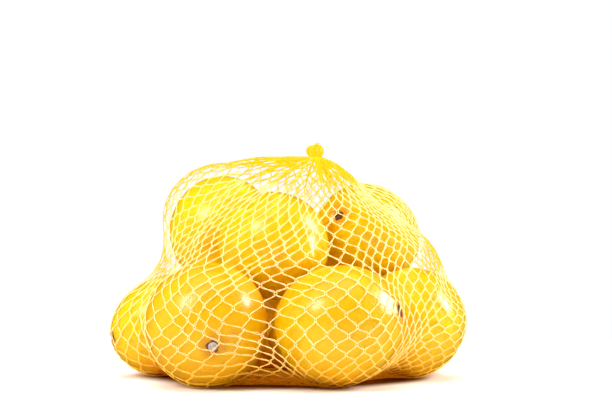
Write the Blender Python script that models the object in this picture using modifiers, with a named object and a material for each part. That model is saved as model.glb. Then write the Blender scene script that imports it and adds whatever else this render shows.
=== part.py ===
"""Net of lemons: ten lemons held in a knitted net bag that is tied off in a knot on top.

The part is one closed solid, the form that the taut net takes over the fruit. Ten lemon guides stand
where the fruit lies. A closed cage around them is drawn in, a little at a time, until it rests on the
fruit as the stretched net does, bridging the gaps between lemons. Its neck is held by the knot, and
its foot is flat where the bag stands. Lengths are in millimetres until they reach Blender.
"""

import math

import bmesh
import bpy
from mathutils import Matrix, Vector

MM = 0.001
WELD = 0.01  # points nearer than this are made one
PART = "net_of_lemons"

# Each lemon: centre, direction of its stem end, length over the tips, girth.
LEMONS = {
    "front_left": ((-39.5, -58.0, 31.1), (0.14, -0.95, -0.27), 69.0, 60.5),
    "front_right": ((25.5, -66.0, 30.8), (0.92, -0.30, 0.25), 72.0, 60.0),
    "side_left": ((-61.0, 0.0, 27.5), (-0.93, -0.28, -0.24), 71.0, 53.0),
    "side_right": ((64.1, -15.0, 28.9), (0.45, 0.87, 0.15), 68.0, 56.0),
    "middle": ((2.0, 25.0, 31.0), (0.60, 0.10, 0.79), 64.0, 56.0),
    "back_left": ((-47.0, 66.7, 28.4), (-0.75, 0.62, -0.12), 70.0, 55.0),
    "back_right": ((55.0, 52.0, 28.4), (0.30, 0.93, 0.05), 70.0, 55.0),
    "top_left": ((-36.0, 34.5, 76.5), (0.08, 0.72, 0.69), 68.0, 57.0),
    "top_middle": ((-6.0, -20.5, 69.0), (-0.55, 0.80, 0.20), 68.0, 56.0),
    "top_right": ((43.6, 11.0, 74.3), (-0.41, -0.83, 0.37), 68.0, 54.5),
}
BODY_SHARE = 0.95  # of a lemon's length that its rounded body takes, its nipple taking the rest
# The net is springy, and stands off the fruit in rounded shoulders, each a centre and three radii: at
# the top left, from there to the knot, and on the right.
SHOULDERS = [
    ((-36.0, 26.0, 78.5), (33.5, 33.0, 34.5)),
    ((-14.0, 8.0, 97.0), (30.0, 14.0, 18.5)),
    ((62.0, 0.0, 54.0), (20.0, 17.0, 24.0)),
]
LEMON_SEGMENTS, LEMON_RINGS = 48, 24

NET_THICKNESS = 0.6
CAGE_CENTRE = (0.0, 0.0, 58.0)
CAGE_RADII = (102.0, 108.0, 72.0)
CAGE_SEGMENTS, CAGE_RINGS = 48, 24
# Smoothing steps of each drawing-in of the coarse cage, then of the cage divided once more.
COARSE_DRAWS = [4] * 9
FINE_DRAWS = [4] * 6
HUG_SHARE = 0.45  # how far the net goes in to the fruit in the waist between the two layers
HUG_TOP, HUG_FADE = 84.0, 22.0  # cage height from which it does, and over how much that comes in
LAST_DRAWS = [2] * 2

KNOT_CENTRE = (15.0, -3.0, 118.0)
KNOT_RADIUS = 3.0  # of the overhand knot's three loops, to the middle of the gathered net
KNOT_CORD = 1.9  # radius of the gathered net in the knot
KNOT_POINTS = 48
KNOT_OPENING = math.radians(40)  # of the trefoil, where the neck comes in and the tail goes out
TAIL_END = (3.2, -0.6, 4.2)  # of the cut end that stands up out of the knot, from its centre
KNOT_FINENESS = 0.8  # size of the squares in which the packed knot's skin is worked out
NECK_RADIUS = 3.2
NECK_ROWS = 2  # rows of the cage, below its pole, that the knot holds
NECK_STEP = 1.2  # from one held row to the next
NECK_PLEATS = 12
PLEAT_DEPTH = 0.22  # as a share of the neck's radius

FOOT_RADII = (48.0, 56.0)
FOOT_ROWS = 4  # rows of the cage, above its lower pole, that lie flat under the bag
FOOT_DEPTH = 1.5  # that the drawn cage reaches below the ground before it is cut flat
FLOOR_SIZE = 400.0

NET_COLOUR = (0.88, 0.76, 0.03, 1.0)
NET_ROUGHNESS = 0.45


def vector(values):
    return Vector(values) * MM


def clear_scene():
    for thing in list(bpy.data.objects):
        bpy.data.objects.remove(thing, do_unlink=True)


def new_collection(name, guides=False):
    collection = bpy.data.collections.new(name)
    collection.hide_render = guides
    bpy.context.scene.collection.children.link(collection)
    return collection


def mesh_object(name, shape, collection, guide=False):
    """Puts a bmesh into a new object, smooth shaded. A guide isn't rendered and shows as wire."""
    mesh = bpy.data.meshes.new(name)
    bmesh.ops.recalc_face_normals(shape, faces=shape.faces)
    shape.to_mesh(mesh)
    shape.free()
    mesh.shade_smooth()
    made = bpy.data.objects.new(name, mesh)
    collection.objects.link(made)
    if guide:
        made.hide_render = True
        made.display_type = "WIRE"
    return made


def plastic(name, colour, roughness):
    material = bpy.data.materials.new(name)
    material.use_nodes = True
    surface = material.node_tree.nodes["Principled BSDF"]
    surface.inputs["Base Color"].default_value = colour
    surface.inputs["Roughness"].default_value = roughness
    surface.inputs["Metallic"].default_value = 0.0
    return material


def ellipsoid(shape, centre, direction, radii, segments, rings):
    """Adds an ellipsoid to the bmesh: radii are its two girths and its half length along direction."""
    turn = Vector(direction).to_track_quat("Z", "Y").to_matrix().to_4x4()
    place = Matrix.Translation(vector(centre)) @ turn @ Matrix.Diagonal((*vector(radii), 1.0))
    bmesh.ops.create_uvsphere(
        shape, u_segments=segments, v_segments=rings, radius=1.0, matrix=place
    )


def fruit_guide(collection):
    """The lemons, and the shoulders that the springy net keeps, as one guide."""
    shape = bmesh.new()
    for centre, stem, length, girth in LEMONS.values():
        radii = (girth / 2, girth / 2, BODY_SHARE * length / 2)
        ellipsoid(shape, centre, stem, radii, LEMON_SEGMENTS, LEMON_RINGS)
    for centre, radii in SHOULDERS:
        ellipsoid(shape, centre, (0, 0, 1), radii, LEMON_SEGMENTS, LEMON_RINGS)
    return mesh_object("fruit_guide", shape, collection, guide=True)


def knot_path():
    """The gathered net's middle line: up the neck, round a trefoil facing the front, out at the tail."""
    unit = KNOT_RADIUS / 3
    path = [Vector((0, 0, -KNOT_RADIUS - KNOT_CORD))]
    for i in range(KNOT_POINTS + 1):
        angle = KNOT_OPENING / 2 + (math.tau - KNOT_OPENING) * i / KNOT_POINTS
        across = math.sin(angle) + 2 * math.sin(2 * angle)
        upward = math.cos(angle) - 2 * math.cos(2 * angle)
        path.append(Vector((across, -math.sin(3 * angle), upward)) * unit)
    path.append(Vector(TAIL_END))
    return [(point + Vector(KNOT_CENTRE)) * MM for point in path]


def knot_guide(collection):
    """The overhand knot pulled tight: a tube along the path, its turns packed into one skin."""
    curve = bpy.data.curves.new("knot_path", "CURVE")
    curve.dimensions = "3D"
    curve.bevel_depth = KNOT_CORD * MM
    curve.bevel_resolution = 2
    curve.use_fill_caps = True
    path = knot_path()
    line = curve.splines.new("POLY")
    line.points.add(len(path) - 1)
    for point, place in zip(line.points, path):
        point.co = (*place, 1.0)
    tube = bpy.data.objects.new("knot_path", curve)
    collection.objects.link(tube)
    graph = bpy.context.evaluated_depsgraph_get()
    mesh = bpy.data.meshes.new_from_object(tube.evaluated_get(graph))
    bpy.data.objects.remove(tube, do_unlink=True)
    shape = bmesh.new()
    shape.from_mesh(mesh)
    bmesh.ops.remove_doubles(shape, verts=shape.verts, dist=WELD * MM)
    knot = mesh_object("knot_guide", shape, collection, guide=True)
    skin = knot.modifiers.new("skin", "REMESH")
    skin.mode = "VOXEL"
    skin.voxel_size = KNOT_FINENESS * MM
    settle = knot.modifiers.new("settle", "SMOOTH")
    settle.iterations = 2
    return knot


def net_cage(collection):
    """A closed cage around the fruit, with its neck gathered under the knot and a flat foot."""
    shape = bmesh.new()
    bmesh.ops.create_uvsphere(
        shape, u_segments=CAGE_SEGMENTS, v_segments=CAGE_RINGS, radius=1.0
    )
    shape.verts.index_update()
    held = []
    for vertex in shape.verts:
        x, y, z = vertex.co
        row = CAGE_RINGS * math.acos(max(-1.0, min(1.0, z))) / math.pi
        angle = math.atan2(y, x)
        place = [c + r * v for c, r, v in zip(CAGE_CENTRE, CAGE_RADII, (x, y, z))]
        if row < NECK_ROWS + 0.5:
            pleat = 1 + PLEAT_DEPTH * math.cos(NECK_PLEATS * angle)
            reach = NECK_RADIUS * pleat * min(1.0, row)
            drop = KNOT_CORD + NECK_STEP * row
            place = (
                KNOT_CENTRE[0] + reach * math.cos(angle),
                KNOT_CENTRE[1] + reach * math.sin(angle),
                KNOT_CENTRE[2] - drop,
            )
            held.append(vertex.index)
        elif row > CAGE_RINGS - FOOT_ROWS - 0.5:
            share = (CAGE_RINGS - row) / FOOT_ROWS
            place = (
                FOOT_RADII[0] * share * math.cos(angle),
                FOOT_RADII[1] * share * math.sin(angle),
                -FOOT_DEPTH,
            )
            held.append(vertex.index)
        vertex.co = vector(place)
    cage = mesh_object("net_bag", shape, collection)
    cage.vertex_groups.new(name="held").add(held, 1.0, "REPLACE")
    return cage


def hull_guide(fruit, cage, collection):
    """The smallest convex form around the fruit and the cage's held neck and foot."""
    shape = bmesh.new()
    shape.from_mesh(fruit.data)
    for vertex in cage.data.vertices:
        if vertex.groups:
            shape.verts.new(vertex.co)
    found = bmesh.ops.convex_hull(shape, input=shape.verts)
    inner = [item for item in found["geom_interior"] if isinstance(item, bmesh.types.BMVert)]
    bmesh.ops.delete(shape, geom=inner, context="VERTS")
    return mesh_object("hull_guide", shape, collection, guide=True)


def held_apart(modifier):
    modifier.vertex_group = "held"
    modifier.invert_vertex_group = True


def stretch_over(cage, hull):
    """Brings the cage in to the convex form, as a stiff net would lie."""
    stretch = cage.modifiers.new("stretch", "SHRINKWRAP")
    stretch.target = hull
    stretch.wrap_method = "PROJECT"
    stretch.use_negative_direction = True
    stretch.use_positive_direction = True
    held_apart(stretch)


def draw_in(cage, fruit, draws):
    """Tightens the cage over the fruit: smoothing draws it in, and the fruit pushes it back out."""
    for steps in draws:
        pull = cage.modifiers.new("draw", "SMOOTH")
        pull.factor = 0.5
        pull.iterations = steps
        held_apart(pull)
        rest = cage.modifiers.new("rest", "SHRINKWRAP")
        rest.target = fruit
        rest.wrap_method = "NEAREST_SURFACEPOINT"
        rest.wrap_mode = "OUTSIDE"
        rest.offset = NET_THICKNESS * MM
        held_apart(rest)


def hug_fruit(cage, fruit):
    """Takes the lower net part of the way in to the nearest fruit, as its tight hoops do."""
    group = cage.vertex_groups.new(name="hug")
    for vertex in cage.data.vertices:
        if not vertex.groups:
            below = (HUG_TOP - vertex.co.z / MM) / HUG_FADE
            group.add([vertex.index], HUG_SHARE * max(0.0, min(1.0, below)), "REPLACE")
    hug = cage.modifiers.new("hug", "SHRINKWRAP")
    hug.target = fruit
    hug.wrap_method = "NEAREST_SURFACEPOINT"
    hug.wrap_mode = "OUTSIDE_SURFACE"
    hug.offset = NET_THICKNESS * MM
    hug.vertex_group = "hug"


def refine(cage):
    finer = cage.modifiers.new("finer", "SUBSURF")
    finer.levels = 1
    finer.render_levels = 1


def floor_cutter(collection):
    shape = bmesh.new()
    size = FLOOR_SIZE * MM
    place = Matrix.Translation((0, 0, -size / 2)) @ Matrix.Scale(size, 4)
    bmesh.ops.create_cube(shape, size=1.0, matrix=place)
    return mesh_object("floor_cutter", shape, collection, guide=True)


def join_or_cut(cage, name, operation, other):
    boolean = cage.modifiers.new(name, "BOOLEAN")
    boolean.operation = operation
    boolean.solver = "EXACT"
    boolean.object = other


def main():
    clear_scene()
    parts = new_collection(PART)
    guides = new_collection(PART + "_guides", guides=True)
    fruit = fruit_guide(guides)
    cage = net_cage(parts)
    stretch_over(cage, hull_guide(fruit, cage, guides))
    draw_in(cage, fruit, COARSE_DRAWS)
    refine(cage)
    draw_in(cage, fruit, FINE_DRAWS)
    hug_fruit(cage, fruit)
    draw_in(cage, fruit, LAST_DRAWS)
    join_or_cut(cage, "flat_foot", "DIFFERENCE", floor_cutter(guides))
    join_or_cut(cage, "knot", "UNION", knot_guide(guides))
    cage.data.materials.append(plastic("yellow_net", NET_COLOUR, NET_ROUGHNESS))


main()
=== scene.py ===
# %% [markdown]
# # A net of lemons
# Lemons are sold by the kilo in a tube of knitted plastic netting. The tube is gathered and sealed at
# its foot, filled, pulled up over the fruit and tied off in an overhand knot, so the netting is taut
# wherever a lemon pushes it out and bunches into pleats where it runs up to the knot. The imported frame
# holds one solid for all this, the outer form of the full bag. Here that form is only a mould: the
# lemons are built inside it, and the netting is knitted over it, strand by strand.

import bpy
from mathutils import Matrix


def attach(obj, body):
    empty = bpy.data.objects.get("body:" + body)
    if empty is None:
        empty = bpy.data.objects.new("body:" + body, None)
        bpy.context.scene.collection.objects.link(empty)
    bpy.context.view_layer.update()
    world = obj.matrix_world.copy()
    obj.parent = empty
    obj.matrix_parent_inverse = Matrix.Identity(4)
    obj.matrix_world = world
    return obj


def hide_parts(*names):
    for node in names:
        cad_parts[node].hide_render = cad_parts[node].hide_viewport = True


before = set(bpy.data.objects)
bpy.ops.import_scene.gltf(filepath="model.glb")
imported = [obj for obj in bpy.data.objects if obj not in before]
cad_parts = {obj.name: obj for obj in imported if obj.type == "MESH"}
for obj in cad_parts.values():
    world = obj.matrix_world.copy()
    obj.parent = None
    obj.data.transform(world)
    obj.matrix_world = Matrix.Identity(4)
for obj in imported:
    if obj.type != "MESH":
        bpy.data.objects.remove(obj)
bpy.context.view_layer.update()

import math

import bpy
import numpy as np
from mathutils import Vector

MM = 0.001
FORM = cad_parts["net_bag"]

# %% [markdown]
# ## Camera
# The bag stands on a table and is seen from the front, from about the height of its middle, through a
# long lens at arm's length. A level camera keeps the upright lines upright, and needs no shift.

# %% Camera
CAMERA_PLACE = (10.0, -956.0, 91.0)  # mm, in front of the bag and level with its upper lemons
LENS_LENGTH = 105.9  # mm, on a sensor 36 mm wide

camera = bpy.data.objects.new("camera", bpy.data.cameras.new("camera"))
camera.data.lens = LENS_LENGTH
camera.location = Vector(CAMERA_PLACE) * MM
camera.rotation_euler = (math.radians(90), 0, 0)
bpy.context.scene.collection.objects.link(camera)
bpy.context.scene.camera = camera
print("camera", round(-CAMERA_PLACE[1]), "mm in front of the middle of the bag")

# %% [markdown]
# ## Light
# A white studio: a large soft box high on the left, a tall one on the right, and pale light from all
# round. The world is plain white where the camera looks straight at it. Everything else sees it
# dimmer, because a surround as bright as that would lay a grey veil over the yellow rind.

# %% Soft boxes and surround
SOFT_BOXES = {  # direction from the bag, distance (m), width and height (m), power (W)
    "soft_box_left": ((-0.56, -0.50, 0.65), 1.3, (0.44, 0.44), 7.8),
    "soft_box_right": ((0.80, 0.15, 0.45), 1.2, (0.30, 0.50), 13.0),
    "soft_box_side": ((-0.95, 0.05, 0.30), 1.3, (0.80, 0.80), 7.0),
    "soft_box_front": ((0.45, -0.85, 0.25), 1.5, (1.10, 0.80), 2.2),
    "soft_box_top": ((-0.05, 0.00, 1.0), 1.2, (1.20, 1.00), 14.0),
    "soft_box_back": ((-0.20, 0.75, 0.65), 1.4, (1.10, 0.60), 4.0),
}
MIRRORED = ("soft_box_left", "soft_box_right")  # the boxes near enough to be seen in the wax
AIM = Vector((0, 0, 50)) * MM
SURROUND_TO_CAMERA, SURROUND_TO_THINGS, SURROUND_IN_SHINE = 1.0, 0.15, 0.0

for name, (direction, distance, size, power) in SOFT_BOXES.items():
    lamp = bpy.data.lights.new(name, "AREA")
    lamp.shape = "RECTANGLE"
    lamp.size, lamp.size_y = size
    lamp.energy = power
    box = bpy.data.objects.new(name, lamp)
    box.visible_glossy = name in MIRRORED
    box.location = AIM + Vector(direction).normalized() * distance
    box.rotation_euler = (-Vector(direction)).to_track_quat("-Z", "Y").to_euler()
    bpy.context.scene.collection.objects.link(box)


def add_node(tree, kind, **settings):
    """Adds a shader node of that kind. A setting is one of its sockets' values or its own property."""
    node = tree.nodes.new(kind)
    for name, value in settings.items():
        label = name.replace("_", " ")
        if hasattr(node, name):
            setattr(node, name, value)
        else:
            node.inputs[label].default_value = value
    return node


world = bpy.data.worlds.new("white_surround")
world.use_nodes = True
tree = world.node_tree
tree.nodes.clear()
rays = add_node(tree, "ShaderNodeLightPath")
shine = add_node(tree, "ShaderNodeMapRange")
shine.inputs["To Min"].default_value = SURROUND_TO_THINGS
shine.inputs["To Max"].default_value = SURROUND_IN_SHINE
strength = add_node(tree, "ShaderNodeMapRange")
strength.inputs["To Max"].default_value = SURROUND_TO_CAMERA
light = add_node(tree, "ShaderNodeBackground", Color=(1, 1, 1, 1))
out = add_node(tree, "ShaderNodeOutputWorld")
tree.links.new(rays.outputs["Is Glossy Ray"], shine.inputs["Value"])
tree.links.new(shine.outputs["Result"], strength.inputs["To Min"])
tree.links.new(rays.outputs["Is Camera Ray"], strength.inputs["Value"])
tree.links.new(strength.outputs["Result"], light.inputs["Strength"])
tree.links.new(light.outputs["Background"], out.inputs["Surface"])
bpy.context.scene.world = world
bpy.context.scene.view_settings.view_transform = "Standard"
print(len(SOFT_BOXES), "soft boxes and a white surround")

# %% [markdown]
# ## Pieces from arrays
# Every piece below is a surface worked out as numpy arrays, in millimetres, and put into a mesh in
# one go. Most are grids: rows along the piece, and columns that close round it. A grid that ends in
# a point at both ends is a ball, such as a lemon, and one that ends in small flat caps is a tube.


# %% Mesh helpers
def ball_faces(rows, columns):
    """Faces of a closed grid between two poles: point 0, then rows x columns points, then the last.

    Returns two arrays, the triangles round the poles and the four-sided faces between the rows.
    """
    grid = 1 + np.arange(rows * columns).reshape(rows, columns)
    after = np.roll(grid, -1, axis=1)
    last = np.full(columns, rows * columns + 1)
    caps = np.concatenate(
        [
            np.stack([np.zeros(columns, int), grid[0], after[0]], axis=1),
            np.stack([last, after[-1], grid[-1]], axis=1),
        ]
    )
    sides = np.stack([grid[:-1], grid[1:], after[1:], after[:-1]], axis=-1).reshape(-1, 4)
    return caps, sides


def tube_faces(tubes, rings, sides):
    """Faces of many tubes at once, their points numbered by tube, then ring, then corner.

    Each corner joins the next one round and the next ring along, and every tube has an end cap
    at its first and its last ring.
    """
    grid = np.arange(tubes * rings * sides).reshape(tubes, rings, sides)
    after = np.roll(grid, -1, axis=2)
    walls = np.stack(
        [grid[:, :-1], after[:, :-1], after[:, 1:], grid[:, 1:]], axis=-1
    ).reshape(-1, 4)
    return walls, grid[:, 0, ::-1], grid[:, -1]


def make_piece(name, points, faces, marks, material):
    """Makes a smooth-shaded piece from points in mm, a few face arrays and named values per point."""
    mesh = bpy.data.meshes.new(name)
    mesh.from_pydata((points * MM).tolist(), [], [face for block in faces for face in block.tolist()])
    for mark, values in marks.items():
        mesh.attributes.new(mark, "FLOAT", "POINT").data.foreach_set("value", values.ravel())
    mesh.shade_smooth()
    mesh.materials.append(material)
    piece = bpy.data.objects.new(name, mesh)
    bpy.context.scene.collection.objects.link(piece)
    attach(piece, "root")
    return piece


def triangles(piece):
    sizes = np.empty(len(piece.data.polygons), np.int32)
    piece.data.polygons.foreach_get("loop_total", sizes)
    return int((sizes - 2).sum())


def unit(vectors):
    """The vectors, each divided by its own length."""
    return vectors / (np.linalg.norm(vectors, axis=-1, keepdims=True) + 1e-12)


def ease(values, start, end):
    """Goes smoothly from 0 at start to 1 at end: three squares less two cubes of the share between."""
    share = np.clip((values - start) / (end - start), 0, 1)
    return share * share * (3 - 2 * share)


# %% [markdown]
# ## Shared finishes
# Two effects return in several materials, so each is a node group. *Mottle* is a soft cloudy pattern
# that keeps a colour from being flat: rind, stem buttons and plastic all vary a little. *Pits* is a
# relief of small hollows, which are oil glands in the rind and cracks in the dry stem button.


# %% Node groups
def new_group(name, inputs, outputs):
    """An empty shader node group with named number sockets, and its input and output nodes."""
    group = bpy.data.node_groups.new(name, "ShaderNodeTree")
    for label, value in inputs.items():
        socket = group.interface.new_socket(label, in_out="INPUT", socket_type="NodeSocketFloat")
        socket.default_value = value
    for label in outputs:
        group.interface.new_socket(label, in_out="OUTPUT", socket_type="NodeSocketFloat")
    return group, group.nodes.new("NodeGroupInput"), group.nodes.new("NodeGroupOutput")


def cells_of(group, ends):
    """Object coordinates divided by the group's Size, so that one unit is one patch or one pit."""
    place = add_node(group, "ShaderNodeTexCoord")
    finer = add_node(group, "ShaderNodeMath", operation="DIVIDE")
    finer.inputs[0].default_value = 1.0
    scale = add_node(group, "ShaderNodeVectorMath", operation="SCALE")
    group.links.new(ends.outputs["Size"], finer.inputs[1])
    group.links.new(place.outputs["Object"], scale.inputs[0])
    group.links.new(finer.outputs[0], scale.inputs["Scale"])
    return scale.outputs[0]


def mottle_group():
    """Noise at a given patch size, stretched to the full range from 0 to 1."""
    group, ends, out = new_group("mottle", {"Size": 0.01, "Detail": 2.0}, ["Patches"])
    noise = add_node(group, "ShaderNodeTexNoise", Scale=1.0)
    spread = add_node(group, "ShaderNodeMapRange")
    spread.inputs["From Min"].default_value = 0.32
    spread.inputs["From Max"].default_value = 0.68
    group.links.new(cells_of(group, ends), noise.inputs["Vector"])
    group.links.new(ends.outputs["Detail"], noise.inputs["Detail"])
    group.links.new(noise.outputs["Fac"], spread.inputs["Value"])
    group.links.new(spread.outputs["Result"], out.inputs["Patches"])
    return group


def pits_group():
    """Rounded hollows at a given spacing: the distance to the nearest cell centre, eased near it."""
    group, ends, out = new_group("pits", {"Size": 0.0012, "Width": 0.45}, ["Height"])
    cells = add_node(group, "ShaderNodeTexVoronoi", Scale=1.0, Randomness=0.85)
    rise = add_node(group, "ShaderNodeMapRange", interpolation_type="SMOOTHSTEP")
    group.links.new(cells_of(group, ends), cells.inputs["Vector"])
    group.links.new(cells.outputs["Distance"], rise.inputs["Value"])
    group.links.new(ends.outputs["Width"], rise.inputs["From Max"])
    group.links.new(rise.outputs["Result"], out.inputs["Height"])
    return group


MOTTLE, PITS = mottle_group(), pits_group()
print("groups:", MOTTLE.name, PITS.name)


# %% Material helpers
def new_material(name, **settings):
    """A material with a Principled shader whose plain sockets are set directly."""
    material = bpy.data.materials.new(name)
    material.use_nodes = True
    shader = material.node_tree.nodes["Principled BSDF"]
    for label, value in settings.items():
        shader.inputs[label.replace("_", " ")].default_value = value
    return material, material.node_tree, shader


def place_group(tree, group, **values):
    node = add_node(tree, "ShaderNodeGroup", node_tree=group)
    for label, value in values.items():
        node.inputs[label].default_value = value
    return node


def mark_range(tree, mark, low, high):
    """A point mark of the mesh, as a smooth 0 to 1 between two of its values."""
    source = add_node(tree, "ShaderNodeAttribute", attribute_name=mark)
    share = add_node(tree, "ShaderNodeMapRange", interpolation_type="SMOOTHSTEP")
    share.inputs["From Min"].default_value = low
    share.inputs["From Max"].default_value = high
    tree.links.new(source.outputs["Fac"], share.inputs["Value"])
    return share.outputs["Result"]


def mix_colours(tree, factor, first, second):
    """Mixes two colours, each a value or a socket, by a factor socket."""
    mix = add_node(tree, "ShaderNodeMix", data_type="RGBA")
    tree.links.new(factor, mix.inputs["Factor"])
    for socket, colour in ((mix.inputs[6], first), (mix.inputs[7], second)):
        if isinstance(colour, tuple):
            socket.default_value = (*colour, 1.0)
        else:
            tree.links.new(colour, socket)
    return mix.outputs[2]


def add_bump(tree, shader, height, distance, strength=1.0, under=None):
    """A bump of that real height in metres. under is the normal of a coarser bump beneath it."""
    bump = add_node(tree, "ShaderNodeBump", Strength=strength, Distance=distance)
    tree.links.new(height, bump.inputs["Height"])
    if under is not None:
        tree.links.new(under, bump.inputs["Normal"])
    tree.links.new(bump.outputs["Normal"], shader.inputs["Normal"])
    return bump.outputs["Normal"]


def scaled(tree, value, factor):
    """A socket's value times a number, as a varying amount of an effect."""
    times = add_node(tree, "ShaderNodeMath", operation="MULTIPLY")
    tree.links.new(value, times.inputs[0])
    times.inputs[1].default_value = factor
    return times.outputs[0]


# %% [markdown]
# ## Rind
# Lemon rind is a warm yellow that is never olive: almost no blue, and a little more than half as much
# green as red. It is waxed, so broad soft highlights lie on it, broken up by oil glands about a
# millimetre apart. Light enters it a little, which rounds off the shading. It turns orange round the
# stem, and cloudy patches keep it alive. Deep between the lemons the light is yellow rind on yellow
# rind again and again, which turns it orange and then brown by itself. Low down near the table the
# rind is painted a deeper orange, a painted shade for the bounced light that the render cuts short.
# The upper lemons are painted paler and the front ones deeper, partly painted light for the brighter
# top of the heap and partly the fruits' own tone.

# %% Rind material
RIND = (0.96, 0.545, 0.001)
RIND_PALE_WITH_PAINTED_LIGHT = (0.96, 0.77, 0.001)
RIND_DEEP = (0.94, 0.44, 0.001)
RIND_PAINTED_LOW_SHADE = (0.98, 0.38, 0.001)
RIND_STEM = (0.78, 0.26, 0.004)
rind, tree, shader = new_material(
    "rind", Roughness=0.42, Subsurface_Weight=0.12, Subsurface_Scale=0.0015, IOR=1.36
)
shader.inputs["Subsurface Radius"].default_value = (1.0, 0.55, 0.1)
shader.inputs["Specular Tint"].default_value = (1.0, 0.7, 0.08, 1)
shader.inputs["Coat Roughness"].default_value = 0.27
shader.inputs["Coat Weight"].default_value = 0.9
shader.inputs["Coat IOR"].default_value = 1.6
clouds = place_group(tree, MOTTLE, Size=0.014, Detail=2.5)
specks = place_group(tree, MOTTLE, Size=0.0022, Detail=1.0)
glands = place_group(tree, PITS, Size=0.0013, Width=0.5)
near_stem = mark_range(tree, "from_stem", 9.5, 3.5)
# Painted light, in part: each lemon's paleness mixes it towards the paler rind, and the upper lemons get the
# most of it.
base = mix_colours(tree, mark_range(tree, "paleness_with_painted_light", 0.0, 1.0), RIND, RIND_PALE_WITH_PAINTED_LIGHT)
base = mix_colours(tree, scaled(tree, clouds.outputs["Patches"], 0.5), base, RIND_DEEP)
base = mix_colours(tree, scaled(tree, specks.outputs["Patches"], 0.28), base, RIND_DEEP)
# Painted shade: up to 22 mm above the table the rind is mixed towards a deeper orange, for the bounced light
# that the render cuts short.
base = mix_colours(tree, scaled(tree, mark_range(tree, "height", 22.0, 1.0), 0.6), base, RIND_PAINTED_LOW_SHADE)
base = mix_colours(tree, scaled(tree, near_stem, 0.65), base, RIND_STEM)
tree.links.new(base, shader.inputs["Base Color"])
wax = add_node(tree, "ShaderNodeMapRange")
wax.inputs["To Min"].default_value = 0.32
wax.inputs["To Max"].default_value = 0.46
tree.links.new(specks.outputs["Patches"], wax.inputs["Value"])
tree.links.new(wax.outputs["Result"], shader.inputs["Roughness"])
swell = place_group(tree, MOTTLE, Size=0.006, Detail=1.5)
coarse = add_bump(tree, shader, swell.outputs["Patches"], 0.0005)
add_bump(tree, shader, glands.outputs["Height"], 0.00024, under=coarse)
print("rind material with", len(tree.nodes), "nodes")

# %% [markdown]
# ## Lemons
# A lemon is a ball drawn out along one axis: blunt with a low collar at the stem, and running into a
# nipple at the other end. Each point of it lies in some direction from the middle, so the whole form
# is one function: *how far is the rind in that direction*. That makes an easy mesh, and later it
# tells in one line whether a strand of the net lies inside a lemon and how far out it has to move.
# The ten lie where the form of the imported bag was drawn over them, three of them on top of seven.

# %% Lemon shape
LEMONS = {  # centre, direction of the stem end, length over the tips, girth (mm)
    "front_left": ((-39.5, -58.0, 31.1), (0.14, -0.95, -0.27), 69.0, 60.5),
    "front_right": ((25.5, -66.0, 30.8), (0.92, -0.31, 0.24), 72.0, 60.0),
    "side_left": ((-61.0, 0.0, 27.5), (-0.93, -0.28, -0.24), 71.0, 53.0),
    "side_right": ((64.1, -15.0, 28.9), (0.45, 0.87, 0.15), 68.0, 56.0),
    "middle": ((2.0, 25.0, 28.0), (0.60, 0.10, 0.79), 64.0, 56.0),
    "back_left": ((-47.0, 66.7, 28.4), (-0.75, 0.62, -0.12), 70.0, 55.0),
    "back_right": ((55.0, 52.0, 28.4), (0.30, 0.93, 0.05), 70.0, 55.0),
    "top_left": ((-36.0, 34.5, 76.5), (0.08, 0.72, 0.69), 68.0, 57.0),
    "top_middle": ((-6.0, -20.5, 69.0), (-0.55, 0.80, 0.20), 68.0, 56.0),
    "top_right": ((42.6, 12.0, 73.4), (-0.49, -0.79, 0.37), 68.0, 54.5),
}
STEM_SHARE, TIP_SHARE = 0.93, 0.86  # of the half length that the rounded body takes at each end
ROUNDNESS = 2.06  # 2 is an ellipse, and more is boxier
NIPPLE_WIDTH = 0.21  # radians, as seen from the lemon's middle
GROOVE_PLACE, GROOVE_WIDTH, GROOVE_DEPTH = 0.42, 0.10, 0.5
COLLAR_PLACE, COLLAR_WIDTH, COLLAR_HEIGHT = 0.17, 0.06, 0.7
DIMPLE_WIDTH, DIMPLE_DEPTH = 0.08, 1.0
FURROWS, FURROW_PLACE, FURROW_WIDTH, FURROW_DEPTH = 6, 0.30, 0.14, 0.30
WAVES = [(3, 1.6, 0.010), (5, 4.0, 0.004), (8, 11.0, 0.0016)]  # how many, how fine, how high
seeds = np.random.default_rng(29)


def new_lemon(centre, stem, length, girth):
    """A lemon's numbers: its middle, its three axes (stem last), its size and its own unevenness."""
    axis = unit(np.array(stem, float))
    side = unit(np.cross(axis, (0.2, 0.3, 0.93)))
    count = sum(many for many, _, _ in WAVES)
    fineness = np.repeat([fine for _, fine, _ in WAVES], [many for many, _, _ in WAVES])
    return {
        "centre": np.array(centre),
        "axes": np.stack([side, np.cross(axis, side), axis]),
        "length": length,
        "girth": girth,
        "waves": unit(seeds.normal(size=(count, 3))) * fineness[:, None],
        "phases": seeds.uniform(0, math.tau, count),
        "heights": np.repeat([high for _, _, high in WAVES], [many for many, _, _ in WAVES]),
        "furrow_phase": seeds.uniform(0, math.tau),
    }


def bell(values, place, width):
    """A bell curve: e to the minus square of the distance from its place in widths."""
    return np.exp(-(((values - place) / width) ** 2))


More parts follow.
